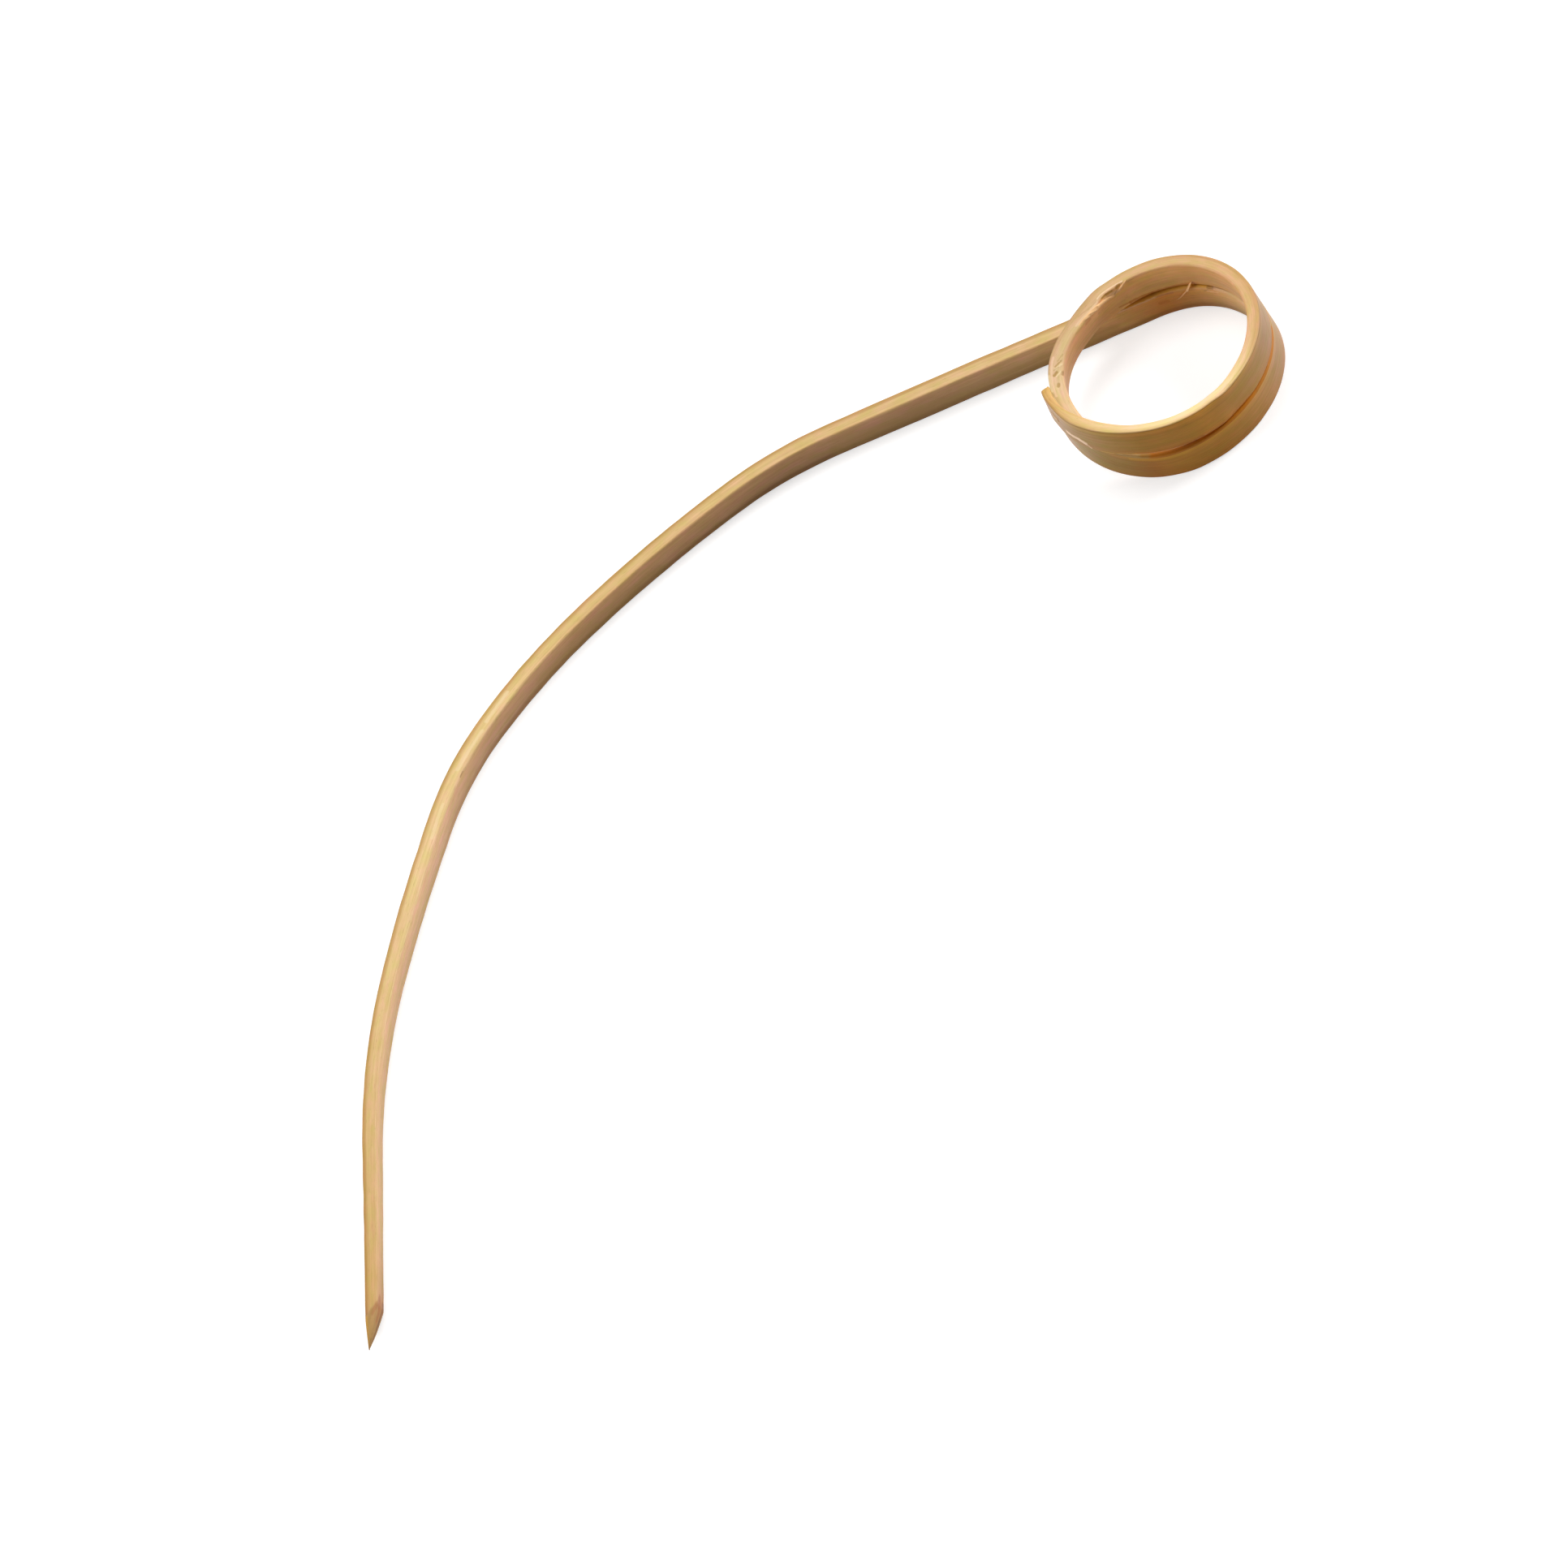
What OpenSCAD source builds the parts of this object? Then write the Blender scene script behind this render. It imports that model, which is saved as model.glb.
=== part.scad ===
// Bamboo skewer: one split strip of bamboo, pared to a point at one end and
// wound into a loop of nearly two turns at the other. It lies flat on z = 0.
// X runs from the point to the loop, and the strip stands on its narrow edge.

/* [Strip] */
// Width of the strip where it is full, measured upwards
strip_width = 3.27; // [2.6:0.01:3.8]
// Width of the strip at its point
point_width = 1.79; // [1.3:0.01:2.4]
// Length behind the point over which the width grows
width_taper = 137; // [60:1:140]
// Thickness of the strip along the stem
strip_thickness = 1.76; // [1.3:0.01:2]
// Thickness of the strip at its point
point_thickness = 1.34; // [1:0.01:1.7]
// Length behind the point over which the thickness grows
thickness_taper = 54; // [10:1:70]
// Thickness of the strip round the loop
loop_thickness = 1.38; // [0.9:0.01:1.6]
// Extra thickness of the strip where it climbs over the stem
climb_swell = 0.22; // [0:0.01:0.35]
// Thickness of the strip along the near side of the second turn
near_thickness = 1.12; // [0.8:0.01:1.4]
// Thickness of the strip where the second turn rides over the climbing piece
lap_thickness = 1.29; // [0.8:0.01:1.4]
// Thickness of the strip at its free end
end_thickness = 0.5; // [0.45:0.01:1]
// Rounding of the strip's four long edges
edge_round = 0.18; // [0.05:0.01:0.2]

/* [Stem] */
// Straight run behind the point
point_run = 24.95; // [10:0.05:40]
// Length of the soft bend above the point
low_bend = 22.8; // [10:0.05:40]
// Turn of the soft bend above the point, in degrees
low_bend_turn = 14.1; // [0:0.05:20]
// Length of the long bow below the main bend
low_bow = 17.4; // [8:0.05:30]
// Turn of the long bow below the main bend
low_bow_turn = 4.55; // [0:0.05:15]
// Length of the main bend
main_bend = 12.4; // [8:0.05:25]
// Turn of the main bend
main_bend_turn = 19.75; // [5:0.05:30]
// Length of the bow that leaves the main bend
high_bow = 13.95; // [5:0.05:20]
// Turn of the bow that leaves the main bend
high_bow_turn = 12.85; // [0:0.05:20]
// Length of the long middle stretch
middle_bow = 19.1; // [10:0.05:30]
// Turn of the long middle stretch
middle_bow_turn = 9.7; // [0:0.05:20]
// Length of the bend before the loop
high_bend = 11.7; // [8:0.05:25]
// Turn of the bend before the loop
high_bend_turn = 17.95; // [5:0.05:30]
// Straight run into the loop
loop_run = 34.8; // [22:0.05:50]

/* [Point] */
// Length of the pared cut along the side that faces the bend's inside
side_cut = 5.4; // [3:0.1:10]
// Length of the pared cut along the outer side
outer_cut = 3.85; // [2:0.05:6]
// Length left off the very tip
blunt = 0.12; // [0.08:0.01:0.3]

/* [Loop] */
// Radius of the loop, to the middle of the strip
loop_radius = 10.37; // [9:0.01:14]
// How far the loop bulges on the side where the strip climbs
loop_bulge = 0.81; // [0.6:0.01:1.4]
// Angle that the strip is wound through, from the stem to its free end
wound = 630; // [615:1:638]
// Gap between the two turns where they lie on each other
turn_gap = 0.29; // [0.1:0.01:0.4]
// Angle where the first turn starts to rise
rise_from = 179; // [172:1:198]
// Angle where the strip has climbed over the stem
rise_to = 312; // [300:1:318]
// Lean of the strip's top towards the middle of the loop as it climbs
climb_lean = 13; // [0:0.5:16]
// Angle where the second turn starts to stand off outwards
spread_from = 517; // [500:1:540]
// How far the free end stands off outwards
end_spread = 1.05; // [0.8:0.01:1.6]
// Angle where the second turn rides highest over the climbing piece
ride_at = 609; // [596:1:620]
// Height that the second turn gains there
ride_height = 1.76; // [1.3:0.01:2]
// Lean of the free end's top towards the middle of the loop
end_lean = 5.8; // [0:0.1:9]
// Slant of the cut across the free end, in degrees
end_slant = 35; // [0:1:45]

/* [Hidden] */
bamboo = [0.87, 0.73, 0.52];

// Spacing of the sections along the stem, round the loop and along the point
stem_step = 2.4;
loop_step = 5;
point_step = 0.5;

// Parts of a whole turn, in degrees
full_turn = 360;
half_turn = 180;
quarter_turn = 90;

// Angles round the loop where its easy changes begin and end
thin_by = 100;
bulge_from = 128;
bulge_full = 281;
bulge_to = 323;
swell_from = 190;
swell_full = 278;
swell_to = 341;
lean_from = 191;
lean_full = 249;
lean_keep = 325;
lean_to = 338;
near_from = 465;
near_full = 531;
lap_from = 563;
lap_full = 583;
end_thin_from = 593;
end_thin_to = 618;
end_lean_to = 519;
ride_from = 509;
ride_to = 640;
spread_power = 1.46;

// Size below which a turn or a length counts as none
tiny = 0.0001;

// Soft step from 0 to 1 between two places
function ease(x, from, to) =
    let (k = min(1, max(0, (x - from) / (to - from))))
    k * k * (3 - 2 * k);

// Steady change from 0 to 1 between two places
function ramp(x, from, to) = min(1, max(0, (x - from) / (to - from)));

// Stem as runs of one curvature each, from the loop back to the point
stem_runs = [
    [loop_run, 0],
    [high_bend, high_bend_turn],
    [middle_bow, middle_bow_turn],
    [high_bow, high_bow_turn],
    [main_bend, main_bend_turn],
    [low_bow, low_bow_turn],
    [low_bend, low_bend_turn],
    [point_run, 0]
];

// Place and heading at a distance along one run: [x, y, heading]
function along_run(start, run, distance) =
    let (turned = run[1] * distance / run[0])
    let (chord = abs(turned) < tiny ? distance
        : 2 * distance / (turned * PI / half_turn) * sin(turned / 2))
    let (aim = start[2] + turned / 2)
    [start[0] + chord * cos(aim), start[1] + chord * sin(aim), start[2] + turned];

// Place where a run starts
function run_start(i) =
    i == 0 ? [0, loop_radius, half_turn]
    : along_run(run_start(i - 1), stem_runs[i - 1], stem_runs[i - 1][0]);

// Length of the stem before a run
function length_before(i) = i == 0 ? 0 : length_before(i - 1) + stem_runs[i - 1][0];
run_starts = [for (i = [0:len(stem_runs) - 1]) run_start(i)];
lengths_before = [for (i = [0:len(stem_runs)]) length_before(i)];
stem_length = lengths_before[len(stem_runs)];

// Run that a distance from the loop falls in
function run_at(distance) =
    let (past = [for (i = [0:len(stem_runs) - 1]) if (lengths_before[i] <= distance) i])
    past[len(past) - 1];

// Place and heading at a distance from the loop, heading towards the point
function stem_place(distance) =
    let (i = run_at(distance))
    along_run(run_starts[i], stem_runs[i], distance - lengths_before[i]);

// Width and thickness at a distance from the point
function width_at(from_point) =
    point_width + (strip_width - point_width) * ramp(from_point, 0, width_taper);
function thickness_at(from_point) =
    point_thickness + (strip_thickness - point_thickness) * ramp(from_point, 0, thickness_taper);

// Strip's laws round the loop, by the angle wound since the stem
level = strip_width + turn_gap;
function radius_at(angle) =
    let (place = angle % full_turn)
    loop_radius
    + loop_bulge * (ease(place, bulge_from, bulge_full) - ease(place, bulge_full, bulge_to))
    + end_spread * pow(ramp(angle, spread_from, wound), spread_power);
function height_at(angle) =
    strip_width / 2
    + level * ease(angle, rise_from, rise_to)
    + ride_height * (ease(angle, ride_from, ride_at) - ease(angle, ride_at, ride_to));
function lean_at(angle) =
    climb_lean * (ease(angle, lean_from, lean_full) - ease(angle, lean_keep, lean_to))
    + end_lean * ease(angle, ride_from, end_lean_to);
function loop_thickness_at(angle) =
    strip_thickness
    + (loop_thickness - strip_thickness) * ease(angle, 0, thin_by)
    + climb_swell * (ease(angle, swell_from, swell_full) - ease(angle, swell_full, swell_to))
    + (near_thickness - loop_thickness) * ease(angle, near_from, near_full)
    + (lap_thickness - near_thickness) * ease(angle, lap_from, lap_full)
    + (end_thickness - lap_thickness) * ease(angle, end_thin_from, end_thin_to);

// Rounded section, as [across, up] from its middle; across is outwards from the bend
corners = [[1, 1], [-1, 1], [-1, -1], [1, -1]];
corner_steps = 2;
function section(thickness, width) = [
    for (i = [0:len(corners) - 1], k = [0:corner_steps])
        let (turn = quarter_turn * (i + k / corner_steps))
        [corners[i][0] * (thickness / 2 - edge_round) + edge_round * cos(turn),
         corners[i][1] * (width / 2 - edge_round) + edge_round * sin(turn)]
];
section_points = len(corners) * (corner_steps + 1);

// Pared cuts of the point: planes through the apex and two places on the strip's
// long edges, each given as [across, up, distance from the apex]
half_t = point_thickness / 2;
half_w = point_width / 2;
apex = [half_t, 0, 0];
inner_top = [-half_t, half_w, side_cut];
inner_bottom = [-half_t, -half_w, side_cut];
outer_top = [half_t, half_w, outer_cut];
outer_bottom = [half_t, -half_w, outer_cut];
cut_normals = [
    cross(inner_top - apex, outer_top - apex),
    cross(inner_bottom - apex, inner_top - apex),
    cross(outer_bottom - apex, inner_bottom - apex)
];
pare_eye = half_t - edge_round / 2;
least_share = 0.004;

// Share of the way from the point's eye line to a corner that the cuts leave
function left_share(corner, from_point) =
    min([1, for (normal = cut_normals)
        let (reach = normal * [corner[0] - pare_eye, corner[1], 0])
        let (room = normal * (apex - [pare_eye, 0, from_point]))
        if (reach > tiny) max(least_share, room / reach)]);

// Section near the point, with what the cuts take away left out
function pared(points, from_point) = [
    for (p = points)
        let (share = left_share(p, from_point))
        [pare_eye + share * (p[0] - pare_eye), share * p[1]]
];

// Stations along the stem, from the point to the loop, by distance from the point
point_stations = [for (s = [blunt:point_step:side_cut]) s];
stem_count = ceil((stem_length - side_cut - point_step) / stem_step);
stem_stations = [for (i = [0:stem_count - 1])
    side_cut + point_step + (stem_length - side_cut - point_step) * i / stem_count];

// Number of steps round the loop
loop_count = ceil(wound / loop_step);

// A section set upright in the model: outwards is to the left of the way to the loop.
// A slant sends its inner side ahead of its outer side
function set_up(points, place, heading, middle, lean, slant) = [
    for (p = points)
        let (across = p[0] * cos(lean) - p[1] * sin(lean))
        let (up = p[0] * sin(lean) + p[1] * cos(lean))
        let (ahead = -p[0] * tan(slant))
        [place[0] - across * sin(heading) + ahead * cos(heading),
         place[1] + across * cos(heading) + ahead * sin(heading), middle + up]
];

// Ring of points at a distance from the point
function stem_ring(from_point) =
    let (place = stem_place(stem_length - from_point))
    let (width = width_at(from_point))
    let (points = section(thickness_at(from_point), width))
    set_up(from_point < side_cut ? pared(points, from_point) : points,
        place, place[2] - half_turn, width / 2, 0, 0);

// Ring of points at an angle round the loop
function loop_ring(angle) =
    let (radius = radius_at(angle))
    let (around = quarter_turn - angle)
    let (points = section(loop_thickness_at(angle), strip_width))
    set_up(points, [radius * cos(around), radius * sin(around)],
        -angle, height_at(angle), lean_at(angle), angle < wound ? 0 : end_slant);

rings = concat(
    [for (s = point_stations) stem_ring(s)],
    [for (s = stem_stations) stem_ring(s)],
    [for (i = [0:loop_count]) loop_ring(wound * i / loop_count)]
);

// Turn that lays the line from the point to the middle of the loop along X
tip_place = stem_place(stem_length);
lay_turn = atan2(-tip_place[1], -tip_place[0]);
laid = [for (ring = rings) for (p = ring)
    [p[0] * cos(lay_turn) + p[1] * sin(lay_turn), p[1] * cos(lay_turn) - p[0] * sin(lay_turn), p[2]]];

// Middle of the outline, which becomes the origin
xs = [for (p = laid) p[0]];
ys = [for (p = laid) p[1]];
middle = [(min(xs) + max(xs)) / 2, (min(ys) + max(ys)) / 2, 0];

// Skin between each ring and the next, closed by the first and last rings
ring_count = len(rings);
skin = [for (i = [0:ring_count - 2], j = [0:section_points - 1])
    let (k = (j + 1) % section_points)
    [i * section_points + j, i * section_points + k,
     (i + 1) * section_points + k, (i + 1) * section_points + j]];
first_face = [for (j = [section_points - 1:-1:0]) j];
last_face = [for (j = [0:section_points - 1]) (ring_count - 1) * section_points + j];

module skewer() {
    color(bamboo)
        translate(-middle)
            polyhedron(points = laid, faces = concat([first_face], skin, [last_face]), convexity = 8);
}

skewer();
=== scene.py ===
"""A bamboo skewer: one split strip, pared to a point and wound into a loop over its own stem.

The strip is a fine sheet rolled round a rounded section and laid along the skewer's path. Its wavering
faces, wrinkles, nicks, torn end and loose slivers are real relief, and its fibres are in the material.
Lengths in this script are millimetres and angles are degrees, and the finished pieces are in metres.
"""
from math import atan2, cos, degrees, pi, radians, sin, tan

import bmesh
import bpy
from mathutils import Matrix, Vector, noise


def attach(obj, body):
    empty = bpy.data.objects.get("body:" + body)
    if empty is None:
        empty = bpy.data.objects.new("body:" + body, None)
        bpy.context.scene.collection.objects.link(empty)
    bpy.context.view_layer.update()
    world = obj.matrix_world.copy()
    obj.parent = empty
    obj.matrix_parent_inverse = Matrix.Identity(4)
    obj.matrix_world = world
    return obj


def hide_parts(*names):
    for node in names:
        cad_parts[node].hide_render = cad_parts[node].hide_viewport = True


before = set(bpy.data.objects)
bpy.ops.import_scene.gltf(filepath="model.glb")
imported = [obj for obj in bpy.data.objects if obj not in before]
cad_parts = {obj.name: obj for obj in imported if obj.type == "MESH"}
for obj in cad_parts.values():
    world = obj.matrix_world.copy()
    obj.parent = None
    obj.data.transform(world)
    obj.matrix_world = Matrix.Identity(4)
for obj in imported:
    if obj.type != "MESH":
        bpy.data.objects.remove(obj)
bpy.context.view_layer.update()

MM = 0.001


# The strip and its path, as in the solid but for the finer point and the slant of the free end

STRIP_WIDTH = 3.27
POINT_WIDTH = 1.79
WIDTH_TAPER = 137
STRIP_THICKNESS = 1.76
POINT_THICKNESS = 1.34
THICKNESS_TAPER = 54
LOOP_THICKNESS = 1.38
CLIMB_SWELL = 0.22
NEAR_THICKNESS = 1.12
LAP_THICKNESS = 1.29
END_THICKNESS = 0.5
EDGE_ROUND = 0.18
ROUND_WAVER = 0.3

# Runs of the stem from the loop back to the point: length and turn
STEM_RUNS = [
    (34.8, 0),  # straight run out of the loop
    (11.7, 17.95),  # high bend
    (19.1, 9.7),  # middle bow
    (13.95, 12.85),  # high bow
    (12.4, 19.75),  # main bend
    (17.4, 4.55),  # low bow
    (22.8, 14.1),  # low bend
    (24.95, 0),  # straight run behind the point
]
STEM_LENGTH = sum(run[0] for run in STEM_RUNS)

# The point: lengths of its cuts along the side and the outer face, how far the cuts are moved towards the
# apex, how much they belly, and the length left off the very tip
SIDE_CUT = 5.4
OUTER_CUT = 3.85
CUT_AHEAD = 0.3
CUT_BELLY = 0.3
BLUNT = 0.02

LOOP_RADIUS = 10.37
LOOP_BULGE = 0.81
WOUND = 630
TURN_GAP = 0.29
CLIMB_LEAN = 13
RIDE_HEIGHT = 1.76
END_SPREAD = 1.05
SPREAD_POWER = 1.46
END_LEAN = 5.8
END_SLANT = 18

# Angles round the loop where its easy changes begin and end
THIN_BY = 100
BULGE_FROM = 128
BULGE_FULL = 281
BULGE_TO = 323
RISE_FROM = 179
RISE_TO = 312
SWELL_FROM = 190
SWELL_FULL = 278
SWELL_TO = 341
LEAN_FROM = 191
LEAN_FULL = 249
LEAN_KEEP = 325
LEAN_TO = 338
NEAR_FROM = 465
NEAR_FULL = 531
RIDE_FROM = 509
RIDE_AT = 609
RIDE_TO = 640
SPREAD_FROM = 517
END_LEAN_TO = 519
LAP_FROM = 563
LAP_FULL = 583
END_THIN_FROM = 593
END_THIN_TO = 618

# Size below which a turn or a length counts as none
TINY = 0.0001


def ease(x, start, end):
    """Soft step from 0 to 1."""
    k = min(1, max(0, (x - start) / (end - start)))
    return k * k * (3 - 2 * k)


def ramp(x, start, end):
    """Steady change from 0 to 1."""
    return min(1, max(0, (x - start) / (end - start)))


def stem_place(distance):
    """Place and heading on the stem at a distance from the loop, heading to the point."""
    x, y, heading = 0, LOOP_RADIUS, 180
    for length, turn in STEM_RUNS:
        part = min(distance, length)
        turned = turn * part / length
        chord = part if abs(turned) < TINY else 2 * part / radians(turned) * sin(radians(turned / 2))
        aim = radians(heading + turned / 2)
        x, y, heading = x + chord * cos(aim), y + chord * sin(aim), heading + turned
        distance -= part
        if distance <= 0:
            break
    return x, y, heading


def loop_radius_at(angle):
    place = angle % 360
    bulge = ease(place, BULGE_FROM, BULGE_FULL) - ease(place, BULGE_FULL, BULGE_TO)
    return LOOP_RADIUS + LOOP_BULGE * bulge + END_SPREAD * ramp(angle, SPREAD_FROM, WOUND) ** SPREAD_POWER


def loop_height_at(angle):
    """Height of the middle of the strip."""
    ride = ease(angle, RIDE_FROM, RIDE_AT) - ease(angle, RIDE_AT, RIDE_TO)
    return STRIP_WIDTH / 2 + (STRIP_WIDTH + TURN_GAP) * ease(angle, RISE_FROM, RISE_TO) + RIDE_HEIGHT * ride


def loop_lean_at(angle):
    """Lean of the strip's top towards the middle of the loop."""
    climb = ease(angle, LEAN_FROM, LEAN_FULL) - ease(angle, LEAN_KEEP, LEAN_TO)
    return CLIMB_LEAN * climb + END_LEAN * ease(angle, RIDE_FROM, END_LEAN_TO)


def loop_thickness_at(angle):
    swell = ease(angle, SWELL_FROM, SWELL_FULL) - ease(angle, SWELL_FULL, SWELL_TO)
    return (STRIP_THICKNESS + (LOOP_THICKNESS - STRIP_THICKNESS) * ease(angle, 0, THIN_BY)
            + CLIMB_SWELL * swell
            + (NEAR_THICKNESS - LOOP_THICKNESS) * ease(angle, NEAR_FROM, NEAR_FULL)
            + (LAP_THICKNESS - NEAR_THICKNESS) * ease(angle, LAP_FROM, LAP_FULL)
            + (END_THICKNESS - LAP_THICKNESS) * ease(angle, END_THIN_FROM, END_THIN_TO))


# Length of strip wound up by each whole degree of the loop
WOUND_LENGTHS = [0]
for degree in range(WOUND):
    WOUND_LENGTHS.append(WOUND_LENGTHS[-1] + loop_radius_at(degree + 0.5) * radians(1))


def along_at(angle):
    """Distance from the point at an angle round the loop."""
    whole = min(int(angle), WOUND - 1)
    first, second = WOUND_LENGTHS[whole], WOUND_LENGTHS[whole + 1]
    return STEM_LENGTH + first + (second - first) * (angle - whole)


STRIP_LENGTH = along_at(WOUND)


# The section: a rounded bar, with places measured round it from the outer face's top edge

CORNERS = ((1, 1), (-1, 1), (-1, -1), (1, -1))
CORNER_STEPS = 4
FACE_STEPS = (8, 12, 4, 12)
ARC = EDGE_ROUND * pi / 2
NARROW = STRIP_THICKNESS - 2 * EDGE_ROUND
WIDE = STRIP_WIDTH - 2 * EDGE_ROUND
FACES = (NARROW, WIDE, NARROW, WIDE)
TOP_END = ARC + NARROW
INNER_START = TOP_END + ARC
INNER_END = INNER_START + WIDE
BOTTOM_START = INNER_END + ARC
BOTTOM_END = BOTTOM_START + NARROW
OUTER_START = BOTTOM_END + ARC
ROUND_LENGTH = OUTER_START + WIDE
CORNER_PLACES = (0, TOP_END, INNER_END, BOTTOM_END)


def section_spots():
    """Places round the section as (corner, share of its arc, share of the face behind it), once round."""
    spots = []
    for corner, steps in enumerate(FACE_STEPS):
        spots += [(corner, k / CORNER_STEPS, 0) for k in range(CORNER_STEPS + 1)]
        spots += [(corner, 1, k / steps) for k in range(1, steps)]
    return spots


SPOTS = section_spots()
PLACES = [CORNER_PLACES[corner] + turn * ARC + share * FACES[corner] for corner, turn, share in SPOTS]
PLACES.append(ROUND_LENGTH)


def spot_at(place):
    """The spot at a place round the section."""
    corner = max(i for i in range(4) if CORNER_PLACES[i] <= place)
    past = place - CORNER_PLACES[corner]
    return corner, min(1, past / ARC), max(0, past - ARC) / FACES[corner]


def corner_point(corner, turn, width, thickness, rounding):
    """A point of a corner's arc as (across, up), and the way that it faces."""
    side, rise = CORNERS[corner]
    facing = Vector((cos(radians(90 * (corner + turn))), sin(radians(90 * (corner + turn)))))
    middle = Vector((side * (thickness / 2 - rounding), rise * (width / 2 - rounding)))
    return middle + rounding * facing, facing


def section_point(spot, width, thickness, rounding):
    """A point of the section as (across, up), and the way that it faces."""
    corner, turn, share = spot
    point, facing = corner_point(corner, turn, width, thickness, rounding)
    if share:
        point = point.lerp(corner_point((corner + 1) % 4, 0, width, thickness, rounding)[0], share)
    return point, facing


# Slices of the strip

class Slice:
    """One section of the strip: where it stands and how big it is."""

    def __init__(self, along, x, y, heading, middle, width, thickness, lean=0, slant=0):
        self.along, self.x, self.y, self.heading, self.middle = along, x, y, heading, middle
        self.width, self.thickness, self.lean, self.slant = width, thickness, lean, slant
        waver = noise.noise(Vector((along * 0.45, 7, 3)))
        self.rounding = min(EDGE_ROUND, thickness / 3) * (1 + ROUND_WAVER * waver)

    def lay(self, across, up, ahead=0):
        """A section point in the loop's own axes."""
        lean, heading = radians(self.lean), radians(self.heading)
        out = across * cos(lean) - up * sin(lean)
        rise = across * sin(lean) + up * cos(lean)
        ahead -= across * tan(radians(self.slant))
        return Vector((self.x - out * sin(heading) + ahead * cos(heading),
                       self.y + out * cos(heading) + ahead * sin(heading), self.middle + rise))

    def surface(self, place, lift=0):
        """A point that stands off the surface by a lift."""
        point, facing = section_point(spot_at(place), self.width, self.thickness, self.rounding)
        point = point + facing * lift
        return self.lay(point.x, point.y)


def stem_slice(along):
    x, y, heading = stem_place(STEM_LENGTH - along)
    width = POINT_WIDTH + (STRIP_WIDTH - POINT_WIDTH) * ramp(along, 0, WIDTH_TAPER)
    thickness = POINT_THICKNESS + (STRIP_THICKNESS - POINT_THICKNESS) * ramp(along, 0, THICKNESS_TAPER)
    return Slice(along, x, y, heading - 180, width / 2, width, thickness)


def loop_slice(angle):
    radius, around = loop_radius_at(angle), radians(90 - angle)
    slant = END_SLANT if angle >= WOUND else 0
    return Slice(along_at(angle), radius * cos(around), radius * sin(around), -angle, loop_height_at(angle),
                 STRIP_WIDTH, loop_thickness_at(angle), loop_lean_at(angle), slant)


# Spacing of the slices along the point and the stem, and then for each stretch of the loop
POINT_STEP = 0.1
STEM_STEP = 0.35
TURN_STEPS = [(0, 250, 1.4), (250, 360, 0.45), (360, 585, 1.4), (585, WOUND, 0.7)]


def spaced(start, end, step):
    """Evenly spaced values over a stretch, without its end."""
    count = max(1, round((end - start) / step))
    return [start + (end - start) * k / count for k in range(count)]


def strip_slices():
    """Slices from the point to the free end, closer where the strip has fine relief."""
    stem = spaced(BLUNT, SIDE_CUT + 1, POINT_STEP) + spaced(SIDE_CUT + 1, STEM_LENGTH, STEM_STEP)
    turns = [angle for stretch in TURN_STEPS for angle in spaced(*stretch)] + [WOUND]
    return [stem_slice(along) for along in stem] + [loop_slice(angle) for angle in turns]


# Marks: wrinkles, nicks, stains, pale fibres, and painted shade, bounce light and highlights, each a stroke
# over the strip's surface. The ends are given as (distance along, place round), then half its width, its
# height (a dent is negative), its colour and how much of it shows

# Colours of the marks; the first and the eighth are painted shade and orange bounce light for the seams
# between the turns
INNER_SEAM_SHADE = (0.55, 0.2, 0.008)
BROWN = (0.34, 0.16, 0.03)
NICK = (0.62, 0.34, 0.06)
UMBER = (0.44, 0.26, 0.07)
GOLD = (0.7, 0.36, 0.03)
AMBER = (0.5, 0.17, 0.008)
AMBER_LIT = (0.72, 0.36, 0.03)
OUTER_SEAM_SHADE = (0.7, 0.22, 0.008)
ORANGE = (0.55, 0.19, 0.015)
RUST = (0.5, 0.19, 0.07)
PALE = (0.98, 0.7, 0.48)
CREAM = (0.92, 0.72, 0.42)
PURPLE = (0.24, 0.11, 0.07)

# A stroke is full out to this share of its half width, and gone at the second one
STROKE_CORE = 0.4
STROKE_EDGE = 1.3


def on_loop(angle, place):
    """The end of a stroke, from its angle round the loop."""
    return along_at(angle), place


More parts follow.
